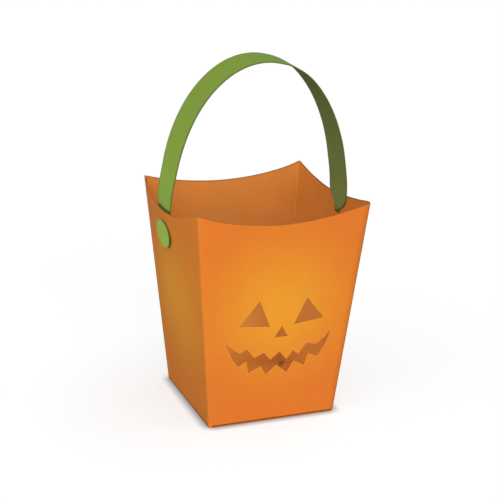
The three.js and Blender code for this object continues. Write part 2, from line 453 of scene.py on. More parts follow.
def linear(red: float, green: float, blue: float) -> Colour:
    """Display colour from 0 to 255 as the linear colour that a shader takes.

    Args:
        red: Red as displayed.
        green: Green as displayed.
        blue: Blue as displayed.

    Returns:
        The linear colour, opaque.
    """
    values = np.array([red, green, blue]) / 255
    low, high = values / 12.92, ((values + 0.055) / 1.055) ** 2.4
    return (*np.where(values <= 0.04045, low, high).tolist(), 1.0)


@dataclass(frozen=True)
class CardFinish:
    """Surface of card: its colour, its grain, how worn its edges and folds are, and the painted
    light and shade that it carries.

    Attributes:
        name: Name of the material.
        colour: Plain colour, and the colour far from the glow where there is one.
        worn: Colour of the card's core, which shows where the print is worn and, along folds, as a
            painted highlight.
        glow: Colour in the middle of the glow, None for no glow: printed on the walls, painted
            light on the inside and the strap.
        glow_centre: Middle of the glow in the pail's own coordinates.
        glow_reach: Distance at which the glow has faded out.
        glow_axes: Axes along which the glow fades, 1 for each, and 0 where it doesn't change.
        grain: Kind of surface.
        roughness: Middle roughness.
        wear_and_highlight: Strength of the wear and of the painted fold highlight, from 0 to 1.
        edge_tone: Darker colour of the line along cut edges.
        edge_shade: Strength of that line, from 0 to 1.
        crease_shade: How much darker the painted shade of the crease mark makes the colour, from 0
            to 1.
        gloss: Strength of the plain reflection.
        fibre_span: Range of the fibres' tone that shows.
        fibre_tint: How much the fibres change the colour, up and down.
        fibre_matt: How much they change the roughness, up and down.
        bump: Strength of the fibres' relief.
        bump_depth: Depth of that relief.
    """

    name: str
    colour: Colour
    worn: Colour
    glow: Colour | None = None
    glow_centre: tuple[float, float, float] = (0.0, 0.0, 0.0)
    glow_reach: float = 66 * MM
    glow_axes: tuple[int, int, int] = (1, 0, 1)
    grain: Grain = Grain.SMOOTH
    roughness: float = 0.55
    wear_and_highlight: float = 0.5
    edge_tone: Colour = linear(150, 92, 48)
    edge_shade: float = 0.0
    crease_shade: float = 0.28
    gloss: float = 0.1
    fibre_span: tuple[float, float] = (0.3, 0.7)
    fibre_tint: float = 0.05
    fibre_matt: float = 0.08
    bump: float = 0.22
    bump_depth: float = 0.02 * MM

    def build(self, groups: PaperGroups) -> bpy.types.Material:
        """Makes the material with its nodes.

        Args:
            groups: Node groups that all finishes share.

        Returns:
            The material.
        """
        material = bpy.data.materials.new(self.name)
        material.use_nodes = True
        material.diffuse_color = self.colour
        tree = material.node_tree
        place = add_node(tree, "TexCoord").outputs["Object"]
        edge, fold, crease = (add_node(tree, "Attribute", attribute_name=label).outputs["Fac"]
                              for label in ("edge", "fold", "crease"))
        paper = add_node(tree, "Group", {"Vector": place, "Fineness": self.grain.value},
                         node_tree=groups.fibres).outputs
        wear_and_painted_light = add_node(tree, "Group", {"Vector": place, "Edge": edge, "Fold": fold},
                          node_tree=groups.wear_and_highlight).outputs

        tint = self.fibre_tint * self.grain.value
        shade = remapped(tree, paper["Tone"], 1 - tint, 1 + tint, self.fibre_span)
        # Painted shade: the crease mark darkens the colour.
        darker = remapped(tree, crease, 1.0, 1 - self.crease_shade)
        both = worked_out(tree, "MULTIPLY", shade, darker)
        pressed = worked_out(tree, "MULTIPLY", edge, self.edge_shade)
        # On the walls the glow is print; on the inside and the strap it is painted light.
        printed = self.colour if self.glow is None else self.glowing(tree, place)
        lined = mixed(tree, pressed, printed, self.edge_tone)
        shaded = mixed(tree, 1.0, lined, both, "MULTIPLY")
        strength = worked_out(tree, "MULTIPLY", wear_and_painted_light["Mask"], self.wear_and_highlight)
        matt = remapped(tree, paper["Tone"], self.roughness - self.fibre_matt,
                        self.roughness + self.fibre_matt)
        relief = add_node(tree, "Bump", {"Strength": self.bump * self.grain.value,
                                         "Distance": self.bump_depth, "Height": paper["Height"]})

        shader = tree.nodes["Principled BSDF"].inputs
        shader["Specular IOR Level"].default_value = self.gloss
        tree.links.new(mixed(tree, strength, shaded, self.worn), shader["Base Color"])
        tree.links.new(matt, shader["Roughness"])
        tree.links.new(relief.outputs["Normal"], shader["Normal"])
        return material

    def glowing(self, tree: bpy.types.NodeTree, place: Value) -> bpy.types.NodeSocket:
        """Adds the glow: a round gradient that falls off evenly from its middle, printed on the
        walls and painted light on the inside and the strap.

        Args:
            tree: Node tree of the material.
            place: Socket with the pail's own coordinates.

        Returns:
            The socket with the glowing colour.
        """
        scale = np.array(self.glow_axes) / self.glow_reach
        mapping = add_node(tree, "Mapping", {"Vector": place, "Scale": scale,
                                             "Location": -scale * self.glow_centre})
        gradient = add_node(tree, "TexGradient", {"Vector": mapping.outputs["Vector"]},
                            gradient_type="SPHERICAL")
        ramp = add_node(tree, "ValToRGB", {"Fac": gradient.outputs["Fac"]})
        ramp.color_ramp.interpolation = "EASE"
        ramp.color_ramp.elements[0].color = self.colour
        ramp.color_ramp.elements[1].color = self.glow
        return ramp.outputs["Color"]


@dataclass
class Palette:
    """All card finishes of the pail and its handle, built once and shared."""

    groups: PaperGroups
    built: dict[str, bpy.types.Material] = field(default_factory=dict)

    edge_orange = linear(231, 125, 44)
    side_orange = linear(226, 132, 47)
    glow_yellow = linear(241, 159, 46)
    core_tan = linear(226, 146, 72)
    core_brown = linear(176, 100, 44)
    core_green = linear(100, 114, 50)

    def get(self, finish: CardFinish) -> bpy.types.Material:
        """The material of a finish, built on its first use."""
        if finish.name not in self.built:
            self.built[finish.name] = finish.build(self.groups)
        return self.built[finish.name]

    def print_of(self, side: Side) -> CardFinish:
        """Printed outside of a wall, with its glow a little below the middle."""
        facing = side in (Side.FRONT, Side.BACK)
        return CardFinish(
            name=f"printed_orange_{side.name.lower()}",
            colour=self.edge_orange if facing else self.side_orange, worn=self.core_tan,
            glow=self.glow_yellow, glow_centre=(0.0, 0.0, 76 * MM),
            glow_axes=(1, 0, 1) if facing else (0, 1, 1))

    @property
    def plain_print(self) -> CardFinish:
        """Printed card away from the glow, as under the bottom."""
        return CardFinish(name="printed_orange_plain", colour=self.edge_orange, worn=self.core_tan)

    @property
    def inner(self) -> CardFinish:
        """Inside of the pail: orange at the rim and lighter lower down, a painted light that
        brightens the deep inside.
        """
        return CardFinish(
            name="inner_orange", colour=linear(208, 130, 56), worn=self.core_tan,
            glow=linear(238, 181, 98), glow_centre=(0.0, 0.0, 22 * MM), glow_reach=112 * MM,
            glow_axes=(0, 0, 1), grain=Grain.BARE, roughness=0.7, wear_and_highlight=0.2, edge_shade=0.85,
            crease_shade=0.0)

    @property
    def orange_core(self) -> CardFinish:
        """Cut edge of the orange card."""
        return CardFinish(
            name="orange_core", colour=self.core_brown, worn=self.core_brown, grain=Grain.BARE,
            roughness=0.8)

    @property
    def strap_outside(self) -> CardFinish:
        """Outside of the strap: green, with painted light that makes it lighter towards its ends
        and darker at the crown, and a strong painted shade in its crease mark.
        """
        return CardFinish(
            name="strap_green", colour=linear(125, 153, 54), worn=linear(160, 180, 110),
            glow=linear(148, 183, 72), glow_centre=(0.0, 0.0, 130 * MM), glow_reach=92 * MM,
            glow_axes=(0, 0, 1), wear_and_highlight=0.2, edge_tone=linear(92, 104, 44), edge_shade=0.9,
            crease_shade=0.72)

    @property
    def lock_outside(self) -> CardFinish:
        """Outside of the lock heads: lime green."""
        return CardFinish(
            name="lock_lime", colour=linear(168, 205, 85), worn=linear(190, 214, 130), wear_and_highlight=0.2,
            edge_tone=linear(122, 150, 60), edge_shade=0.4)

    @property
    def strap_inside(self) -> CardFinish:
        """Inside of the strap: dark olive."""
        return CardFinish(
            name="strap_olive", colour=linear(118, 139, 76), worn=linear(150, 166, 110),
            grain=Grain.BARE, roughness=0.7, wear_and_highlight=0.2, edge_tone=linear(86, 100, 56),
            edge_shade=0.9, crease_shade=0.0)

    @property
    def strap_core(self) -> CardFinish:
        """Cut edge of the green card."""
        return CardFinish(
            name="strap_core", colour=self.core_green, worn=self.core_green, grain=Grain.BARE,
            roughness=0.8)


def inside_loop(points: np.ndarray, loop: np.ndarray) -> np.ndarray:
    """Which points lie inside a closed loop, by the number of its sides to their right.

    Args:
        points: Flat points, one per row.
        loop: Corners of the loop in order.

    Returns:
        One truth value per point.
    """
    start, end = loop, np.roll(loop, -1, axis=0)
    x, y = points[:, :1], points[:, 1:]
    crosses = (start[:, 1] > y) != (end[:, 1] > y)
    rise = np.where(end[:, 1] == start[:, 1], 1, end[:, 1] - start[:, 1])
    at = start[:, 0] + (y - start[:, 1]) / rise * (end[:, 0] - start[:, 0])
    return (crosses & (at > x)).sum(axis=1) % 2 == 1


def distance_to(points: np.ndarray, start: np.ndarray, end: np.ndarray) -> np.ndarray:
    """Least distance from each flat point to a set of straight pieces.

    Args:
        points: Flat points, one per row.
        start: First ends of the pieces.
        end: Second ends of the pieces.

    Returns:
        One distance per point.
    """
    along = end - start
    length = np.maximum((along ** 2).sum(axis=1), 1e-16)
    offset = points[:, None] - start[None]
    share = np.clip((offset * along).sum(axis=2) / length, 0, 1)
    return np.sqrt(((offset - share[..., None] * along) ** 2).sum(axis=2)).min(axis=1)


def set_back(loop: np.ndarray, distance: float) -> np.ndarray:
    """A closed loop moved outwards by a distance, its corners mitred but not beyond twice that.

    Args:
        loop: Corners in anticlockwise order.
        distance: How far the sides move out.

    Returns:
        The moved corners.
    """
    before = loop - np.roll(loop, 1, axis=0)
    after = np.roll(loop, -1, axis=0) - loop
    normals = [
        np.stack([side[:, 1], -side[:, 0]], axis=1) / np.linalg.norm(side, axis=1, keepdims=True)
        for side in (before, after)
    ]
    middle = normals[0] + normals[1]
    size = (middle ** 2).sum(axis=1, keepdims=True) / 2
    return loop + distance * middle / np.maximum(size, 0.5)


@dataclass
class FlatSheet:
    """Triangulated flat pattern: points and the triangles between them, anticlockwise."""

    points: np.ndarray
    triangles: np.ndarray

    @classmethod
    def fill(cls, outline: np.ndarray, holes: list[np.ndarray], chains: list[np.ndarray],
             loose: np.ndarray, spacing: float) -> "FlatSheet":
        """Fills an outline with triangles that keep every given line.

        Args:
            outline: Corners of the outline in order.
            holes: Corners of each hole in order.
            chains: Open runs of points that stay joined in the pattern.
            loose: Points to scatter in it, dropped where they come near a line.
            spacing: Distance between loose points.

        Returns:
            The pattern with its holes left out.
        """
        clear, weld_mm, least_area = 0.4 * spacing, 1e-5, 1e-14
        runs = [(loop, True) for loop in [outline, *holes]] + [(chain, False) for chain in chains]
        points, edges, first = [], [], 0
        for run, closed in runs:
            index = first + np.arange(len(run))
            pairs = np.stack([index, np.roll(index, -1)], axis=1)
            edges.append(pairs if closed else pairs[:-1])
            points.append(run)
            first += len(run)
        lines, edges = np.concatenate(points), np.concatenate(edges)
        loose = loose[inside_loop(loose, outline)]
        loose = loose[distance_to(loose, lines[edges[:, 0]], lines[edges[:, 1]]) > clear]
        every = np.concatenate([lines, loose])
        flat, _, found, *_ = delaunay_2d_cdt(
            (every / MM).tolist(), edges.tolist(), [], 0, weld_mm, False)
        flat, triangles = np.array(flat) * MM, np.array(found)
        centre = flat[triangles].mean(axis=1)
        keep = inside_loop(centre, outline)
        for hole in holes:
            keep &= ~inside_loop(centre, hole)
        triangles = triangles[keep]
        one, two = (flat[triangles[:, i]] - flat[triangles[:, 0]] for i in (1, 2))
        turned = one[:, 0] * two[:, 1] - one[:, 1] * two[:, 0]
        triangles[turned < 0] = triangles[turned < 0][:, ::-1]
        triangles = triangles[np.abs(turned) > least_area]
        used, back = np.unique(triangles, return_inverse=True)
        return cls(flat[used], back.reshape(triangles.shape))

    def rim_edges(self) -> np.ndarray:
        """Finds the edges that only one triangle has.

        Returns:
            Pairs of point numbers, each with the sheet on its left.
        """
        edges = np.concatenate([self.triangles[:, [i, (i + 1) % 3]] for i in range(3)])
        keys = edges[:, 0] * len(self.points) + edges[:, 1]
        other = edges[:, 1] * len(self.points) + edges[:, 0]
        return edges[~np.isin(keys, other)]


@dataclass
class CardMesh:
    """A closed sheet of card: points, faces by kind, and the marks that its materials read.

    Attributes:
        outside: Points of the outside.
        inside: Points of the inside, in the same order.
        triangles: Faces of the outside.
        rim: Edges along which the thickness is closed.
        fold: How much lighter a point is along a fold, from 0 to 1: worn print and a painted
            highlight.
        edge: 1 at a cut edge and 0 elsewhere.
        crease: How far into painted shade a point is, from 0 to 1: in creases, along cut sides and
            on the strap just above the rim.
    """

    outside: np.ndarray
    inside: np.ndarray
    triangles: np.ndarray
    rim: np.ndarray
    fold: np.ndarray | float
    edge: np.ndarray | float
    crease: np.ndarray | float = 0.0

    def build(self, name: str, materials: list[bpy.types.Material]) -> bpy.types.Object:
        """Puts the sheet into a mesh object.

        The inside repeats the outside's triangles the other way round, and a strip of quads along
        each rim edge closes the thickness.

        Args:
            name: Name of the piece.
            materials: Materials of the outside, the inside and the cut edge.

        Returns:
            The object, linked to the scene.
        """
        count = len(self.outside)
        start, end = self.rim.T
        strips = np.stack([end, start, start + count, end + count], axis=1)
        faces = [*self.triangles.tolist(), *(self.triangles[:, ::-1] + count).tolist(),
                 *strips.tolist()]
        kinds = np.repeat([Face.OUTSIDE, Face.INSIDE, Face.CUT],
                          [len(self.triangles), len(self.triangles), len(strips)])
        mesh = bpy.data.meshes.new(name)
        mesh.from_pydata(np.concatenate([self.outside, self.inside]).tolist(), [], faces)
        for material in materials:
            mesh.materials.append(material)
        mesh.polygons.foreach_set("material_index", kinds.astype(np.int32))
        mesh.polygons.foreach_set("use_smooth", np.ones(len(faces), dtype=bool))
        for label, values in (("fold", self.fold), ("edge", self.edge), ("crease", self.crease)):
            marks = mesh.attributes.new(label, "FLOAT", "POINT")
            every = np.tile(np.broadcast_to(values, count), 2)
            marks.data.foreach_set("value", every.astype(np.float32))
        mesh.set_sharp_from_angle(angle=SHARP_ANGLE)
        mesh.validate()
        mesh.update()
        return add_object(name, mesh)


def add_piece(piece: bpy.types.Object, body: str, slot: str, *nodes: str) -> None:
    """Rides a piece on its body, hides the solids that it stands for, and reports it.

    Args:
        piece: The finished piece.
        body: Body that it moves with.
        slot: Its material slot; not used.
        nodes: Solids that it takes the place of.
    """
    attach(piece, body)
    if nodes:
        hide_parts(*nodes)
    log.info("%s: %d faces, rides %s", piece.name, len(piece.data.polygons), body)


@dataclass
class Wall:
    """One wall of the blank, from its foot fold to its rim, with its half of each corner fold.

    Attributes:
        shape: The pail.
        side: Which wall it is.
        low: Corner at its negative end across.
        high: Corner at its positive end across.
        holes: Cut-outs, in places across and heights.
        worn: Width of the strip along cut-outs over which the edge mark fades.
        rim_line: Width of the darker line along the rim.
        seam_shade: Width of the painted shade along a cut side.
        spacing: Distance between points of the mesh.
        fold_lines: Lines up the wall in each fold.
        corner_foot: Height of the foot at the corners, beside the foot fold.
        foot_notch: Distance from the corner at which the foot fold ends.
        notch_clear: Least distance from there to the next point of the foot.
    """

    shape: PailShape
    side: Side
    low: Corner
    high: Corner
    holes: list[np.ndarray] = field(default_factory=list)
    worn: float = 0.4 * MM
    rim_line: float = 1.1 * MM
    seam_shade: float = 1.5 * MM
    spacing: float = 3.4 * MM
    fold_lines: int = 8
    corner_foot: float = 0.42 * MM
    foot_notch: float = 1.8 * MM
    notch_clear: float = 0.5 * MM

    @property
    def foot(self) -> float:
        """Height at which the foot fold starts: the bottom folds lower than the tabs."""
        level = 0.0 if self.side is Side.BACK else self.shape.wall_foot
        return level + self.shape.foot_radius

    def fold_start(self, z: np.ndarray, corner: Corner) -> np.ndarray:
        """Place across at which a corner's fold begins, at a height."""
        return self.shape.half_side(z) - corner.lap - corner.radius

    def surface(self, flat: np.ndarray, inset: float) -> np.ndarray:
        """Bends the flat pattern round the pail.

        Across is a length along the wall: straight up to the start of the fold, then round its arc,
        and straight again along the next wall. The second value is the height. The bent sheet is
        turned to its side of the pail and bowed.

        Args:
            flat: Places across and heights, one pair per row.
            inset: Level depth below the outside.

        Returns:
            Points in space, one per row.
        """
        across, z = flat.T
        positive = across > 0
        radius = np.where(positive, self.high.radius, self.low.radius)
        start = np.where(positive, self.fold_start(z, self.high), self.fold_start(z, self.low))
        over = np.maximum(np.abs(across) - start, 0)
        over = np.where(radius > 0, over, 0)
        angle = np.minimum(over / np.maximum(radius, 1e-9), QUARTER)
        beyond = over - angle * radius
        arm = radius - inset
        x = np.sign(across) * (np.minimum(np.abs(across), np.where(radius > 0, start, 1))
                               + arm * np.sin(angle))
        y = -(self.shape.half_side(z) - radius + arm * np.cos(angle)) + beyond
        return self.shape.placed(self.side, x, y, z)

    def rulings(self) -> list[tuple[float, float]]:
        """Lays lines up the wall, close together in the folds.

        Returns:
            For each line, its share of the way to the fold and its length past the fold's start.
        """
        bends = [np.linspace(0, corner.radius * corner.turn,
                             self.fold_lines if corner.radius else 1)
                 for corner in (self.low, self.high)]
        count = round(self.shape.top_side / self.spacing)
        return [*[(-1.0, -length) for length in bends[0][::-1]],
                *[(share, 0.0) for share in np.linspace(-1, 1, count)[1:-1]],
                *[(1.0, length) for length in bends[1]]]

    def across_at(self, ruling: tuple[float, float], z: np.ndarray) -> np.ndarray:
        """Place across of a ruling at a height."""
        share, length = ruling
        return share * self.fold_start(z, self.high if share > 0 else self.low) + length

    def rim_point(self, ruling: tuple[float, float], rounds: int = 8) -> np.ndarray:
        """Finds where a ruling meets the rim, by repeating the rim's height at its own place.

        Args:
            ruling: Line up the wall.
            rounds: How often it is repeated.

        Returns:
            Place across and height.
        """
        z = np.array([self.shape.rim_low])
        half = self.shape.top_side / 2
        axis = 0 if self.side in (Side.FRONT, Side.BACK) else 1
        for _ in range(rounds):
            flat = np.stack([self.across_at(ruling, z), z], axis=1)
            place = self.surface(flat, 0.0)[:, axis]
            z = self.shape.rim(self.side, np.clip(place, -half, half))
        return np.array([self.across_at(ruling, z)[0], z[0]])

    def foot_line(self, rulings: list[tuple[float, float]]) -> np.ndarray:
        """Lays the lower outline: the start of the foot fold, with a step down beside each end.

        Args:
            rulings: Lines up the wall.

        Returns:
            Places across and heights, from the negative end to the positive one.
        """
        deep, shallow = self.corner_foot, self.foot
        end = float(self.shape.half_side(0.0)) - self.foot_notch
        feet = [(ruling[0], float(self.across_at(ruling, deep if abs(ruling[0]) == 1 else shallow)))
                for ruling in rulings]
        return np.array([
            *[(across, deep) for share, across in feet if share == -1],
            (-end, deep), (-end, shallow),
            *[(across, shallow) for share, across in feet
              if abs(share) < 1 and abs(across) < end - self.notch_clear],
            (end, shallow), (end, deep),
            *[(across, deep) for share, across in feet if share == 1]])

    def pattern(self) -> FlatSheet:
        """Lays out the flat wall with its fold lines, its cut-outs and the lines beside cut edges.

        Returns:
            The filled pattern.
        """
        rulings = self.rulings()
        tops = np.array([self.rim_point(ruling) for ruling in rulings])
        levels = round(self.shape.height / self.spacing)
        bends, scattered = [], []
        for ruling, top in zip(rulings, tops):
            bent = abs(ruling[0]) == 1
            z = np.linspace(self.corner_foot if bent else self.foot, top[1], levels)
            run = np.stack([self.across_at(ruling, z), z], axis=1)
            if bent:
                bends.append(run)
            else:
                scattered.append(run[1:-1])
        outline = np.concatenate([
            self.foot_line(rulings), bends[-1][1:-1], tops[::-1], bends[0][-2:0:-1]])
        rings = [set_back(hole, self.worn) for hole in self.holes]
        chains = [*[run[1:-1] for run in bends[1:-1]], (tops - [0, self.rim_line])[1:-1],
                  *[np.concatenate([ring, ring[:1]]) for ring in rings]]
        return FlatSheet.fill(outline, self.holes, chains, np.concatenate(scattered), self.spacing)

    def mesh(self) -> CardMesh:
        """Bends the pattern and marks its folds and cut edges, with worn print and a painted
        highlight on the front fold and painted shade in the other folds and along the cut side.

        Returns:
            The wall as a sheet of card.
        """
        pattern = self.pattern()
        across, z = pattern.points.T
        # fold carries worn print with a painted highlight on the front fold, crease the painted
        # shade of the other folds and of the cut side.
        fold, crease = np.zeros(len(across)), np.zeros(len(across))
        for corner, along in ((self.high, across), (self.low, -across)):
            past = along - self.fold_start(z, corner)
            if corner.radius:
                share = (past / (corner.radius * corner.turn) + 1) / 2
            else:
                share = 1 + past / self.seam_shade
            marks = fold if corner.wear_and_painted_light else crease
            np.maximum(marks, np.clip(share, 0, 1), out=marks)
        rim = pattern.rim_edges()
        cut = rim[~self.on_fold(pattern.points[rim].mean(axis=1))]
        edge = np.zeros(len(across))
        edge[np.unique(cut)] = 1
        edge[(z < self.foot + HAIR) & (z > self.corner_foot + HAIR)] = 0
        return CardMesh(
            outside=self.surface(pattern.points, 0.0),
            inside=self.surface(pattern.points, self.shape.span),
            triangles=pattern.triangles, rim=rim, fold=fold, edge=edge, crease=crease)

    def on_fold(self, flat: np.ndarray, reach: float = 0.02 * MM) -> np.ndarray:
        """Finds the points on the middle line of a corner fold.

        Args:
            flat: Places across and heights, one pair per row.
            reach: How near they have to be.

        Returns:
            One truth value per point.
        """
        across, z = flat.T
        found = np.zeros(len(across), dtype=bool)
        for corner, along in ((self.high, across), (self.low, -across)):
            if corner.radius:
                last = self.fold_start(z, corner) + corner.radius * corner.turn
                found |= np.abs(along - last) < reach
        return found

    def build(self, palette: Palette) -> None:
        """Builds, dresses and adds the wall.

        Args:
            palette: All finishes.
        """
        name = self.side.name.lower()
        materials = [palette.get(finish) for finish in (
            palette.print_of(self.side), palette.inner, palette.orange_core)]
        piece = self.mesh().build(f"{name}_wall", materials)
        add_piece(piece, "pail", "orange_card", f"{name}_panel")


@dataclass(frozen=True)
class PumpkinFace:
    """Cut-out face on the front wall: lengths across from its middle, and up the slope."""

    shape: PailShape
    eye_width: float = 19.6 * MM
    eye_height: float = 17 * MM
    left_eye_extra: float = 0.9 * MM
    eye_outer_rise: float = 2.2 * MM
    eye_peak_inset: float = 7.6 * MM
    eye_spacing: float = 16 * MM
    eye_level: float = 65.8 * MM
    nose_width: float = 8.6 * MM
    nose_height: float = 7.3 * MM
    nose_level: float = 58.1 * MM
    eyes_offset: float = 1.6 * MM
    mouth_level: float = 45.4 * MM
    mouth_ends: Table = ((-35.0, 13.2), (34.4, 12.8))
    mouth_pulls: Table = ((-33.2, 8.2), (33.6, 5.3), (30.2, 7.0), (-31.0, 8.0))
    mouth_lower: Table = (
        (-28.6, -0.5), (-25.5, -4.6), (-20.1, -1.3), (-18.4, -9.8), (-10.5, -5.9), (-7.1, -12.2),
        (-0.2, -6.3), (6.9, -12.6), (11.1, -5.0), (18.4, -9.0), (20.4, -0.9), (26.8, -3.9))
    mouth_upper: Table = (
        (25.5, 4.7), (19.0, 6.1), (14.1, -1.0), (10.3, 2.2), (6.3, -3.8), (1.4, 2.5), (-4.5, -2.7),
        (-9.0, 2.8), (-15.2, 0.0), (-20.3, 6.7), (-24.8, 4.2))

    def eye(self, handed: int) -> list[tuple[float, float]]:
        """Cuts an eye, a triangle that leans outwards.

        Args:
            handed: 1 for the eye on the right and -1 for the left one.

        Returns:
            Its corners in anticlockwise order.
        """
        inner = self.eye_spacing / 2
        height = self.eye_height + (self.left_eye_extra if handed < 0 else 0)
        corners = [(inner, 0.0), (inner + self.eye_width, self.eye_outer_rise),
                   (inner + self.eye_peak_inset, height)]
        return [(self.eyes_offset + handed * x, self.eye_level + y) for x, y in corners][::handed]

    def nose(self) -> list[tuple[float, float]]:
        """Corners of the nose."""
        half, level = self.nose_width / 2, self.nose_level
        return [(self.eyes_offset - half, level), (self.eyes_offset + half, level),
                (self.eyes_offset, level + self.nose_height)]

    def mouth(self) -> list[tuple[float, float]]:
        """Cuts a grin with upturned ends and uneven teeth: the lower edge, then the upper one.

        Returns:
            Its corners in anticlockwise order.
        """
        (left, right), pulls = self.mouth_ends, self.mouth_pulls
        lower, upper = self.mouth_lower, self.mouth_upper
        outline = [*self.curve(left, pulls[0], lower[0]), *lower[:-1],
                   *self.curve(lower[-1], pulls[1], right),
                   *self.curve(right, pulls[2], upper[0]), *upper[:-1],
                   *self.curve(upper[-1], pulls[3], left)]
        return [(x * MM, self.mouth_level + y * MM) for x, y in outline]

    @staticmethod
    def curve(start: tuple[float, float], pull: tuple[float, float], end: tuple[float, float],
              count: int = 6) -> list[tuple[float, float]]:
        """Draws a curve with one pull point.

        At a share t of the way, the start weighs one minus t squared, the pull point twice t times
        one minus t, and the end t squared.

        Args:
            start: Where it starts.
            pull: Point that draws it aside.
            end: Where it ends.
            count: Number of its points.

        Returns:
            Its points without the last one.
        """
        t = np.linspace(0, 1, count)[:, None]
        points = (1 - t) ** 2 * start + 2 * t * (1 - t) * np.array(pull) + t ** 2 * np.array(end)
        return [tuple(point) for point in points[:-1].tolist()]

    def holes(self) -> list[np.ndarray]:
        """All cut-outs as places across and heights: lengths up the slope over the slope."""
        return [np.array(corners) / [1, self.shape.slope] for corners in (
            self.eye(1), self.eye(-1), self.nose(), self.mouth())]


@dataclass(frozen=True)
class StrapSlot:
    """Slot with round ends in a side wall, for the neck of the strap."""

    level: float = 121.5 * MM
    width: float = 3 * MM
    length: float = 11.6 * MM
    middle: float = 0.0
    end_points: int = 9

    def hole(self) -> np.ndarray:
        """Cuts the slot: half a circle at each end.

        Returns:
            Its outline as places across and heights.
        """
        radius = self.width / 2
        turn = np.linspace(-QUARTER, QUARTER, self.end_points)
        end = np.stack([np.cos(turn), np.sin(turn)], axis=1) * radius
        reach = [self.length / 2 - radius, 0]
        return np.concatenate([end + reach, -end - reach]) + [self.middle, self.level]


@dataclass
class FootFold:
    """A panel that folds from the foot of a wall: a quarter-round fold, then flat card.

    Attributes:
        shape: The pail.
        side: Wall that it folds from.
        level: Height of its underside.
        fold_half: Half-length of the fold.
        outline: Flat outline after the fold, as places across and depths from the wall's outside.
        spacing: Distance between points of the mesh.
        fold_rows: Rows of points round the fold.
        fold_columns: Points along the fold.
        wear_and_painted_light: How much lighter the fold is, from 0 to 1, as worn print and a
            painted highlight.
    """

    shape: PailShape
    side: Side
    level: float
    fold_half: float
    outline: np.ndarray
    spacing: float = 6 * MM
    fold_rows: int = 7
    fold_columns: int = 28
    wear_and_painted_light: float = 0.6

    def surface(self, flat: np.ndarray, inset: float) -> np.ndarray:
        """Bends the pattern: depth runs round the fold's arc and then level towards the middle.

        Args:
            flat: Places across, and lengths from the start of the fold.
            inset: Depth below the outside, which is the underside.

        Returns:
            Points in space, one per row.
        """
        across, depth = flat.T
        radius = self.shape.foot_radius
        angle = np.clip(depth / radius, 0, QUARTER)
        beyond = np.maximum(depth - radius * QUARTER, 0)
        arm = radius - inset
        top = self.level + radius
        edge = self.shape.half_side(top * np.cos(angle) ** 2)
        y = -(edge - radius + arm * np.cos(angle)) + beyond
        return self.shape.placed(self.side, across, y, top - arm * np.sin(angle))

    def mesh(self) -> CardMesh:
        """Fills the pattern, bends it and marks its fold and cut edges.

        Returns:
            The panel as a sheet of card.
        """
        half, radius = self.fold_half, self.shape.foot_radius
        arc = radius * QUARTER
        steps = np.linspace(0, arc, self.fold_rows)
        inner = steps[1:-1]
        flat = self.outline + [0, arc - radius]
        start = np.stack([np.linspace(half, -half, self.fold_columns),
                          np.zeros(self.fold_columns)], axis=1)
        outline = np.concatenate([
            start, np.stack([np.full_like(inner, -half), inner], axis=1), flat,
            np.stack([np.full_like(inner, half), inner[::-1]], axis=1)])[::-1]
        columns = np.linspace(-half, half, self.fold_columns)[1:-1]
        chains = [np.stack([columns, np.full_like(columns, step)], axis=1) for step in steps[1:]]
        reach = np.abs(flat).max()
        count = max(int(2 * reach / self.spacing), 2)
        grid = np.stack(np.meshgrid(np.linspace(-reach, reach, count),
                                    np.linspace(arc, flat[:, 1].max(), count)), axis=-1)
        pattern = FlatSheet.fill(outline, [], chains, grid.reshape(-1, 2), self.spacing)
        rim = pattern.rim_edges()
        depth = pattern.points[:, 1]
        edge = np.zeros(len(depth))
        edge[np.unique(rim)] = 1
        edge[depth < HAIR] = 0
        # The fold mark lightens the rounded foot fold: worn print with a painted highlight.
        return CardMesh(
            outside=self.surface(pattern.points, 0.0),
            inside=self.surface(pattern.points, self.shape.card),
            triangles=pattern.triangles, rim=rim, edge=edge,
            fold=np.clip(1 - np.abs(depth - arc / 2) / arc, 0, 1) * self.wear_and_painted_light)


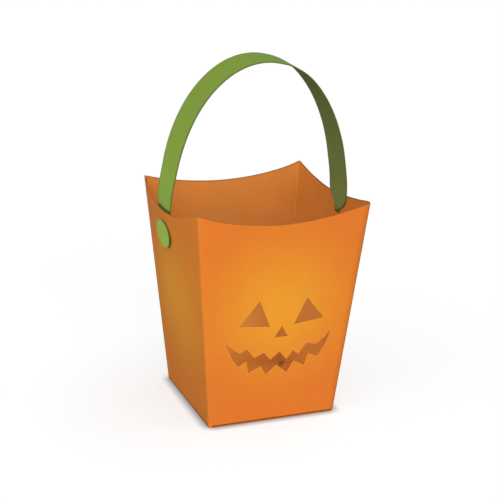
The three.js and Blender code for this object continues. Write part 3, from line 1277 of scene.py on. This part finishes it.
@dataclass
class Pail:
    """The folded and glued blank: four walls, the glue flap, three tabs and the bottom.

    Attributes:
        shape: Sizes of the pail.
        palette: All finishes.
        foot_margin: How far the folds of the tabs and the bottom stay from the corners.
        tab_depth: Depth of a glue tab, and of its mitred ends.
        flap_width: Width of the glue flap.
        flap_bevel: How much shorter its free edge is at each end.
        flap_lip: Width of the strip beside its fold that runs up to the rim.
        flap_top_margin: How far it stays below the lowest point of the rim.
        flap_rim_gap: How far its fold stays below the back wall's rim.
        flap_lip_gap: How far its lip does.
        flap_rows: Points up the flap.
        flap_spacing: Distance between points on it.
        bottom_ease: Rows of how far, in mm, the bottom's rear corners stay from the sides and
            from the fold.
        corner_points: Points round each of its front corners.
    """

    shape: PailShape
    palette: Palette
    foot_margin: float = 1.9 * MM
    tab_depth: float = 15 * MM
    flap_width: float = 14.6 * MM
    flap_bevel: float = 6 * MM
    flap_lip: float = 1.2 * MM
    flap_top_margin: float = 3 * MM
    flap_rim_gap: float = 0.1 * MM
    flap_lip_gap: float = 0.4 * MM
    flap_rows: int = 40
    flap_spacing: float = 3 * MM
    bottom_ease: Table = ((0.9, 0.1), (0.35, 0.45), (0.1, 1.2))
    corner_points: int = 6

    def walls(self) -> None:
        """Builds the four walls."""
        shape = self.shape
        right_slot = StrapSlot(length=7.4 * MM, middle=-2.1 * MM)
        for side, low, high, holes in (
                (Side.FRONT, shape.front_fold, shape.fold, PumpkinFace(shape).holes()),
                (Side.RIGHT, shape.fold, shape.fold, [right_slot.hole()]),
                (Side.BACK, shape.fold, shape.seam_fold, []),
                (Side.LEFT, shape.seam_cut, shape.front_fold, [StrapSlot().hole()])):
            Wall(shape, side, low, high, holes).build(self.palette)

    def flap(self) -> None:
        """Builds the glue flap, which goes on from the back wall's fold inside the left wall."""
        wall = Wall(self.shape, Side.BACK, self.shape.fold, self.shape.seam_fold)
        corner = self.shape.seam_fold
        low, high = self.foot_margin, self.shape.rim_low - self.flap_top_margin
        place = -wall.fold_start(np.array([self.shape.height]), corner)
        top = float(self.shape.rim(Side.BACK, place)[0]) - self.flap_rim_gap
        arc = corner.radius * corner.turn
        bevel, lip = self.flap_bevel, self.flap_lip

        def line(length: float, bottom: float, top: float) -> np.ndarray:
            """Run of points up the flap at a length past the fold's start."""
            z = np.linspace(bottom, top, self.flap_rows)
            return np.stack([wall.fold_start(z, corner) + length, z], axis=1)

        crease = line(arc, low, top)
        rounds = [line(arc * part, low, top) for part in (1.25, 1.5, 1.75, 2.0)]
        step = line(2 * arc + lip, high - bevel * lip / self.flap_width, top - self.flap_lip_gap)
        free = line(2 * arc + self.flap_width, low + bevel, high - bevel)
        between = [line(2 * arc + self.flap_width * part, low + bevel * part + MM,
                        high - bevel * part - MM) for part in (0.25, 0.5, 0.75)]
        outline = np.concatenate([
            [run[0] for run in [crease, *rounds]], free, step[::self.flap_rows // 3],
            [run[-1] for run in rounds[::-1]], crease[::-1][:-1]])
        pattern = FlatSheet.fill(outline, [], [run[1:-1] for run in rounds],
                                 np.concatenate(between), self.flap_spacing)
        past = pattern.points[:, 0] - wall.fold_start(pattern.points[:, 1], corner)
        mesh = CardMesh(
            outside=wall.surface(pattern.points, 0.0),
            inside=wall.surface(pattern.points, self.shape.span),
            triangles=pattern.triangles, rim=pattern.rim_edges(), edge=0.0,
            fold=np.clip(1 - past / (3 * arc), 0, 1))
        self.add(mesh, "glue_flap", "inner_card", "seam_flap")

    def tabs(self) -> None:
        """Builds the three glue tabs, whose mitred ends stay clear of each other."""
        half = self.shape.half_side(0.0) - self.foot_margin
        first, depth = self.shape.foot_radius, self.tab_depth
        outline = np.array([[-half, first], [-half + depth, depth + first],
                            [half - depth, depth + first], [half, first]])
        for side in (Side.FRONT, Side.RIGHT, Side.LEFT):
            name = side.name.lower()
            tab = FootFold(self.shape, side, self.shape.wall_foot, half, outline)
            self.add(tab.mesh(), f"{name}_glue_tab", "inner_card", f"{name}_tab")

    def bottom(self) -> None:
        """Builds the bottom, folded from the back wall, with round corners at the front."""
        half = float(self.shape.half_side(0.0))
        first, radius = self.shape.foot_radius, self.shape.fold_radius
        fold_half = half - self.foot_margin
        low = np.array([[-fold_half, first], *[
            [-half + beside * MM, first + behind * MM] for beside, behind in self.bottom_ease]])
        turn = np.linspace(0, QUARTER, self.corner_points)
        corner = np.array([-half + radius, 2 * half - radius])
        turned = corner + np.stack([-np.cos(turn), np.sin(turn)], axis=1) * radius
        mirror = [-1, 1]
        outline = np.concatenate([low, turned, turned[::-1] * mirror, low[::-1] * mirror])
        panel = FootFold(self.shape, Side.BACK, 0.0, fold_half, outline)
        self.add(panel.mesh(), "bottom", "orange_card", "bottom_panel")

    def add(self, mesh: CardMesh, name: str, slot: str, node: str) -> None:
        """Dresses a folded panel and adds it to the pail.

        Args:
            mesh: The panel.
            name: Its name.
            slot: Its material slot.
            node: Solid that it takes the place of.
        """
        palette = self.palette
        materials = [palette.get(finish) for finish in (
            palette.plain_print, palette.inner, palette.orange_core)]
        add_piece(mesh.build(name, materials), "pail", slot, node)

    def build(self) -> None:
        """Builds the whole pail."""
        self.walls()
        self.flap()
        self.tabs()
        self.bottom()


@dataclass
class StrapHandle:
    """Strap of green card: an arch that narrows to two necks, and two oval lock heads.

    The strap stands upright while its mesh is worked out and then leans to the front about its
    slots.

    Attributes:
        shape: Sizes of the pail.
        palette: All finishes.
        card: Thickness of the card.
        slot: Height of the slots.
        play: Gap between the strap and the wall, inside and outside.
        lean: Degrees by which the strap leans to the front.
        head_long: Half the length of a lock head.
        head_short: Half its height.
        head_turn: Degrees by which it is turned in its own plane.
        head_middle: Its middle, in y and z.
        head_top: Its highest point.
        head_slope: How far it leans out for each unit of height.
        head_spokes: Points round it.
        head_rings: Rings of points in it, as shares of its size, inside its rim.
        head_rim: Width of the strip along its rim.
        neck_bend: Half the height over which a neck crosses the wall.
        neck_start: Share of that crossing at which the strap starts, behind its lock head.
        neck_points: Rows of points in the crossing.
        leg_swing: How far a leg swings out beside the rim.
        leg_swing_heights: Where the swing starts, is widest and ends.
        leg_rise: Foot of the arch above the lowest point of the rim.
        arch_rise: Crown above the lowest point of the rim.
        arch_points: Rows of points in each half of the arch.
        worn: Width of the strip along the strap's sides.
        rim_line: Height of the painted shadow band where the left arm passes behind the rim.
        rows: Distance between two rows of points in a leg.
        columns: Points across it between those strips.
        left_front: Heights and half-widths, in mm, of the left arm's front side.
        left_rear: The same for its rear side.
        right_front: The same for the right arm's front side.
        right_rear: The same for its rear side.
        left_reach: Degrees round the arch and factors on its size there, on the left.
        right_reach: The same on the right.
    """

    shape: PailShape
    palette: Palette
    card: float = 0.6 * MM
    slot: float = StrapSlot.level
    play: float = 0.4 * MM
    lean: float = 3.7
    head_long: float = 12.8 * MM
    head_short: float = 8.8 * MM
    head_turn: float = -2.0
    head_middle: tuple[float, float] = (1.3 * MM, 114.7 * MM)
    head_top: float = 123.4 * MM
    head_slope: float = 0.11
    head_spokes: int = 72
    head_rings: tuple[float, ...] = (0.25, 0.5, 0.75)
    head_rim: float = 0.8 * MM
    neck_bend: float = 1.3 * MM
    neck_start: float = 0.1
    neck_points: int = 14
    leg_swing: float = 1.2 * MM
    leg_swing_heights: tuple[float, float, float] = (122 * MM, 134 * MM, 158 * MM)
    leg_rise: float = 5 * MM
    arch_rise: float = 90.8 * MM
    arch_points: int = 80
    worn: float = 1.5 * MM
    rim_line: float = 1.5 * MM
    rows: float = 0.8 * MM
    columns: int = 13
    left_front: Table = (
        (124.0, 5.0), (127.0, 8.6), (130.0, 11.2), (134.0, 12.5), (150.0, 13.6), (172.0, 14.4),
        (194.0, 13.9), (223.0, 13.6))
    left_rear: Table = (
        (124.0, 5.0), (127.0, 9.2), (130.0, 12.0), (134.0, 12.6), (150.0, 13.0), (190.0, 13.4),
        (223.0, 13.6))
    right_front: Table = (
        (123.4, 5.3), (125.0, 8.6), (127.0, 11.0), (130.0, 12.3), (140.0, 12.8), (160.0, 13.0),
        (184.0, 13.0), (223.0, 13.6))
    right_rear: Table = (
        (122.8, 0.8), (126.0, 1.0), (127.1, 3.2), (128.0, 6.0), (129.9, 9.0), (132.0, 11.3),
        (136.0, 12.9), (144.0, 13.3), (180.0, 14.1), (223.0, 13.8))
    left_reach: Table = ((0.0, 1.0), (90.0, 1.0))
    right_reach: Table = (
        (0.0, 1.0), (15.0, 0.999), (30.0, 0.998), (46.0, 1.002), (62.0, 1.009), (74.0, 1.004),
        (82.0, 0.999), (90.0, 1.0))

    def wall_at(self, z: float) -> float:
        """Outside of a side wall in its middle, at a height."""
        return self.shape.half_side(z) + self.shape.side_bow * z / self.shape.rim_low

    @property
    def leg_plane(self) -> float:
        """Middle plane of a leg inside the pail."""
        return self.wall_at(self.slot) - self.shape.span - self.play - self.card / 2

    def head_at(self, z: np.ndarray) -> np.ndarray:
        """Middle plane of a lock head, which leans a little less than the wall, at a height."""
        top = self.wall_at(self.head_top) + self.play + self.card / 2
        return top - self.head_slope * (self.head_top - z)

    def half_line(self, reach: Table) -> np.ndarray:
        """Lays the middle line from the lock head to the crown, in x and z.

        It crosses the wall in an S, a smooth step of its height, rises inside the wall and ends in
        a quarter of an ellipse. Beside the rim it swings out along the wall and back again.

        Args:
            reach: Rows of an angle in degrees round the ellipse and a factor on its size there.

        Returns:
            Points from the lock head to the crown, on the right.
        """
        share = np.linspace(self.neck_start, 1, self.neck_points)
        level = self.slot + self.neck_bend * (2 * share - 1)
        outer = self.head_at(level)
        crossing = np.stack([outer + (self.leg_plane - outer) * smooth(share), level], axis=1)
        foot = self.shape.rim_low + self.leg_rise
        start = self.slot + self.neck_bend
        heights = np.linspace(start, foot, round((foot - start) / self.rows))[1:-1]
        leg = np.stack([np.full(len(heights), self.leg_plane), heights], axis=1)
        crown = self.shape.rim_low + self.arch_rise - self.card / 2
        angle = np.linspace(0, QUARTER, self.arch_points)
        factor = eased_table(np.degrees(angle), reach)
        arch = np.stack([self.leg_plane * np.cos(angle) * factor,
                         foot + (crown - foot) * np.sin(angle) * factor], axis=1)
        line = np.concatenate([crossing, leg, arch])
        low, most, high = self.leg_swing_heights
        rising = smooth((line[:, 1] - low) / (most - low))
        fading = smooth((high - line[:, 1]) / (high - most))
        line[:, 0] += self.leg_swing * rising * fading
        return line

    def half_width(self, line: np.ndarray, right: Table, left: Table) -> np.ndarray:
        """Reads the half-widths of both arms on one side of the middle line.

        Args:
            line: Middle line in x and z.
            right: Heights and half-widths of the arm at positive x, in mm.
            left: The same of the other arm.

        Returns:
            One half-width per point.
        """
        widths = [eased_table(line[:, 1] / MM, table) * MM for table in (right, left)]
        return np.where(line[:, 0] >= 0, *widths)

    def leaned(self, points: np.ndarray) -> np.ndarray:
        """Turns points to the front about the line through both slots.

        Args:
            points: Points of the upright strap, one per row.

        Returns:
            The turned points.
        """
        turn = math.radians(self.lean)
        x, y, z = points.T
        up = z - self.slot
        return np.stack([x, y * math.cos(turn) - up * math.sin(turn),
                         self.slot + y * math.sin(turn) + up * math.cos(turn)], axis=1)

    def strap_mesh(self) -> CardMesh:
        """Works out the strap as a ribbon: rows along its middle line, columns across its width.

        Returns:
            The strap as a sheet of card.
        """
        right, left = self.half_line(self.right_reach), self.half_line(self.left_reach)
        line = np.concatenate([right, left[-2::-1] * [-1, 1]])
        along = np.gradient(line, axis=0)
        along /= np.linalg.norm(along, axis=1, keepdims=True)
        outward = np.stack([along[:, 1], -along[:, 0]], axis=1)
        front = -self.half_width(line, self.right_front, self.left_front)[:, None]
        rear = self.half_width(line, self.right_rear, self.left_rear)[:, None]
        share = np.linspace(0, 1, self.columns)
        inner = (front + self.worn) * (1 - share) + (rear - self.worn) * share
        across = np.concatenate([front, inner, rear], axis=1)
        rows, columns = across.shape

        def layer(offset: float) -> np.ndarray:
            """The ribbon moved outwards by an offset."""
            x, z = np.repeat(line + offset * outward, columns, axis=0).T
            return self.leaned(np.stack([x, across.ravel(), z], axis=1))

        index = np.arange(rows * columns).reshape(rows, columns)
        a, b, c, d = (part.ravel() for part in (
            index[:-1, :-1], index[:-1, 1:], index[1:, 1:], index[1:, :-1]))
        triangles = np.concatenate([np.stack([a, b, c], axis=1), np.stack([a, c, d], axis=1)])
        edge = np.zeros((rows, columns))
        edge[:, [0, -1]] = 1
        outside = layer(self.card / 2)
        # Painted shadow: a dark band on the left arm's outside just above the rim, where the arm
        # passes behind it.
        above = outside[:, 2] - self.shape.rim(Side.LEFT, outside[:, 1])
        wear_and_painted_light = smooth(2 - np.abs(above - self.rim_line / 2) / (self.rim_line / 2))
        return CardMesh(
            outside=outside,
            inside=layer(-self.card / 2),
            triangles=triangles,
            rim=FlatSheet(np.zeros((rows * columns, 2)), triangles).rim_edges(),
            fold=0.0,
            edge=edge.ravel(),
            crease=np.where(outside[:, 0] < 0, wear_and_painted_light, 0))

    def head_mesh(self, handed: int) -> CardMesh:
        """Works out a tilted oval lock head: rings about its middle, which is a point of its own.

        Args:
            handed: 1 for the right end of the strap and -1 for the left one.

        Returns:
            The head as a flat sheet of card outside the wall.
        """
        rings = np.array([*self.head_rings, 1 - self.head_rim / self.head_short, 1.0])
        count = self.head_spokes
        angle = np.arange(count) * 2 * math.pi / count
        along = np.concatenate([[0], np.outer(rings, np.cos(angle)).ravel()]) * self.head_long
        up = np.concatenate([[0], np.outer(rings, np.sin(angle)).ravel()]) * self.head_short
        turn = math.radians(self.head_turn)
        y = self.head_middle[0] + along * math.cos(turn) - up * math.sin(turn)
        z = self.head_middle[1] + along * math.sin(turn) + up * math.cos(turn)
        spoke = np.arange(count)
        after = (spoke + 1) % count
        faces = [np.stack([np.zeros(count, dtype=int), 1 + spoke, 1 + after], axis=1)]
        for low in 1 + count * np.arange(len(rings) - 1):
            high = low + count
            faces += [np.stack([low + spoke, high + spoke, high + after], axis=1),
                      np.stack([low + spoke, high + after, low + after], axis=1)]
        triangles = np.concatenate(faces)
        if handed < 0:
            triangles = triangles[:, ::-1]
        edge = np.zeros(len(y))
        edge[-count:] = 1

        def layer(offset: float) -> np.ndarray:
            """The head moved outwards by an offset."""
            return np.stack([handed * (self.head_at(z) + offset), y, z], axis=1)

        return CardMesh(
            outside=layer(self.card / 2),
            inside=layer(-self.card / 2),
            triangles=triangles,
            rim=FlatSheet(np.zeros((len(y), 2)), triangles).rim_edges(),
            fold=0.0,
            edge=edge)

    def build(self) -> None:
        """Builds the strap and its two lock heads."""
        palette = self.palette
        materials = [palette.get(finish) for finish in (
            palette.strap_outside, palette.strap_inside, palette.strap_core)]
        add_piece(self.strap_mesh().build("strap", materials), "handle", "green_card", "handle")
        materials[Face.OUTSIDE] = palette.get(palette.lock_outside)
        for name, handed in (("right_lock_head", 1), ("left_lock_head", -1)):
            add_piece(self.head_mesh(handed).build(name, materials), "handle", "green_card")


def direction(azimuth: float, elevation: float) -> Vector:
    """Unit vector towards a place.

    Args:
        azimuth: Its angle from the front, to the right, in degrees.
        elevation: Its angle above the floor, in degrees.

    Returns:
        The vector.
    """
    side, height = math.radians(azimuth), math.radians(elevation)
    return Vector((math.sin(side) * math.cos(height), -math.cos(side) * math.cos(height),
                   math.sin(height)))


@dataclass(frozen=True)
class Sun:
    """A broad soft lamp far away: where it stands and its apparent size in degrees."""

    name: str
    azimuth: float
    elevation: float
    size: float
    strength: float

    def build(self) -> None:
        """Adds the lamp, turned towards the pail."""
        lamp = bpy.data.lights.new(self.name, "SUN")
        lamp.energy = self.strength
        lamp.angle = math.radians(self.size)
        piece = add_object(self.name, lamp)
        piece.rotation_mode = "QUATERNION"
        piece.rotation_quaternion = direction(self.azimuth, self.elevation).to_track_quat("Z", "Y")


@dataclass(frozen=True)
class Studio:
    """Floor, lights and camera.

    The camera stands where the photograph was taken from: angles in degrees, distances in metres.

    Attributes:
        azimuth: Angle of the camera from the front, to the right.
        elevation: Its angle above the floor.
        distance: Its distance from the point that it looks at.
        aim_side: How far to the right of the pail's middle that point lies.
        aim_height: Height of that point.
        roll: How far the camera is turned about its own axis.
        lens: Its focal length in mm.
        sensor: Width of its picture in mm.
        clip: Nearest and farthest distance that it sees.
        suns: Lamps far away.
        sky_strength: Light of the sky.
        fill_power: Power of the lamp inside the pail.
        fill_place: Where that lamp hangs.
        fill_radius: Its size.
        floor_size: Half the width of the floor.
        floor_tone: How pale the floor is, from 0 to 1.
        floor_matt: Its roughness.
        floor_lift: How much brighter the camera sees it.
        contact_reach: How near the pail a painted contact shadow takes away some of that lift.
        contact_depth: How much of the lift the painted contact shadow takes away.
        shade_reach: The same reach for the wide faint shadow.
        shade_depth: How much less lift it leaves.
        shade_from: Azimuth and elevation at which the pail stands where it causes that shadow.
    """

    azimuth: float = -21.306
    elevation: float = 17.333
    distance: float = 0.7933
    aim_side: float = -1.134 * MM
    aim_height: float = 98.95 * MM
    roll: float = 1.276
    lens: float = 89.84
    sensor: float = 36
    clip: tuple[float, float] = (0.01, 50)
    suns: tuple[Sun, ...] = (
        Sun("front", -3.0, 9.0, 50.0, 2.33),
        Sun("left", -72.0, 16.0, 70.0, 0.9),
        Sun("over", -58.0, 48.0, 45.0, 0.40),
        Sun("high", 75.0, 66.0, 36.0, 0.36),
    )
    sky_strength: float = 0.43
    fill_power: float = 0.020
    fill_place: tuple[float, float, float] = (-14 * MM, 9 * MM, 48 * MM)
    fill_radius: float = 20 * MM
    floor_size: float = 6.0
    floor_tone: float = 0.31
    floor_matt: float = 0.9
    floor_lift: float = 0.75
    contact_reach: float = 6.5 * MM
    contact_depth: float = 1.5
    shade_reach: float = 90 * MM
    shade_depth: float = 0.12
    shade_from: tuple[float, float] = (62.0, 38.0)

    def floor(self) -> None:
        """Adds a wide pale floor that takes the shadow."""
        size = self.floor_size
        mesh = bpy.data.meshes.new("floor")
        mesh.from_pydata([(-size, -size, 0), (size, -size, 0), (size, size, 0), (-size, size, 0)],
                         [], [(0, 1, 2, 3)])
        mesh.materials.append(self.floor_material())
        add_object("floor", mesh)

    def floor_material(self) -> bpy.types.Material:
        """Makes the floor's material, a little lifted for the camera, with painted shadows near the
        pail where ambient occlusion takes that lift away.

        Returns:
            The material.
        """
        material = bpy.data.materials.new("pale_floor")
        material.use_nodes = True
        tree = material.node_tree
        shader = tree.nodes["Principled BSDF"]
        shader.inputs["Base Color"].default_value = (*[self.floor_tone] * 3, 1)
        shader.inputs["Roughness"].default_value = self.floor_matt
        shader.inputs["Specular IOR Level"].default_value = 0.0
        towards = add_node(tree, "CombineXYZ", dict(zip("XYZ", direction(*self.shade_from))))
        seen = add_node(tree, "LightPath").outputs["Is Camera Ray"]
        # Painted shadows: ambient occlusion takes the lift away close to the pail, and widely on
        # one side of it.
        for depth, inputs in (
                (self.contact_depth, {"Distance": self.contact_reach}),
                (self.shade_depth, {"Distance": self.shade_reach,
                                    "Normal": towards.outputs["Vector"]})):
            open_sky = add_node(tree, "AmbientOcclusion", inputs, samples=16).outputs["AO"]
            shade = worked_out(tree, "MULTIPLY_ADD", open_sky, depth, 1 - depth, clamp=True)
            seen = worked_out(tree, "MULTIPLY", seen, shade)
        amount = worked_out(tree, "MULTIPLY", seen, self.floor_lift)
        lift = add_node(tree, "Emission", {"Strength": amount})
        whole = add_node(tree, "AddShader", {0: shader.outputs[0], 1: lift.outputs[0]})
        tree.links.new(whole.outputs[0], tree.nodes["Material Output"].inputs["Surface"])
        return material

    def sky(self) -> None:
        """Adds even sky light that the camera sees as white."""
        world = bpy.data.worlds.new("studio")
        bpy.context.scene.world = world
        world.use_nodes = True
        tree = world.node_tree
        tree.nodes.clear()
        seen = add_node(tree, "LightPath").outputs["Is Camera Ray"]
        background = add_node(tree, "Background", {
            "Color": (1, 1, 1, 1), "Strength": remapped(tree, seen, self.sky_strength, 1.0)})
        add_node(tree, "OutputWorld", {"Surface": background.outputs[0]})

    def fill(self) -> None:
        """Adds a weak round lamp inside the pail, which the camera doesn't see."""
        lamp = bpy.data.lights.new("fill", "POINT")
        lamp.energy = self.fill_power
        lamp.shadow_soft_size = self.fill_radius
        piece = add_object("fill", lamp)
        piece.location = self.fill_place
        piece.visible_camera = False

    def camera(self) -> None:
        """Adds the camera at the photograph's viewing angle, rolled a little as that is."""
        data = bpy.data.cameras.new("camera")
        data.lens = self.lens
        data.sensor_width = self.sensor
        data.clip_start, data.clip_end = self.clip
        side = math.radians(self.azimuth)
        back = direction(self.azimuth, self.elevation)
        right = Vector((math.cos(side), math.sin(side), 0))
        up = back.cross(right)
        turn = math.radians(self.roll)
        across = right * math.cos(turn) + up * math.sin(turn)
        upward = up * math.cos(turn) - right * math.sin(turn)
        place = right * self.aim_side + Vector((0, 0, self.aim_height)) + back * self.distance
        piece = add_object("camera", data)
        piece.matrix_world = Matrix((
            (across.x, upward.x, back.x, place.x), (across.y, upward.y, back.y, place.y),
            (across.z, upward.z, back.z, place.z), (0, 0, 0, 1)))
        bpy.context.scene.camera = piece

    def build(self) -> None:
        """Sets up the stage."""
        self.camera()
        self.floor()
        self.sky()
        for sun in self.suns:
            sun.build()
        self.fill()
        bpy.context.scene.view_settings.view_transform = "Standard"


def main() -> None:
    """Builds the stage, the pail and its handle."""
    logging.basicConfig(level=logging.INFO, format="%(name)s: %(message)s")
    Studio().build()
    shape = PailShape()
    palette = Palette(PaperGroups(fibres=PaperFibres().build(), wear_and_highlight=CardWearAndHighlight().build()))
    Pail(shape, palette).build()
    StrapHandle(shape, palette).build()


if __name__ == "__main__":
    main()
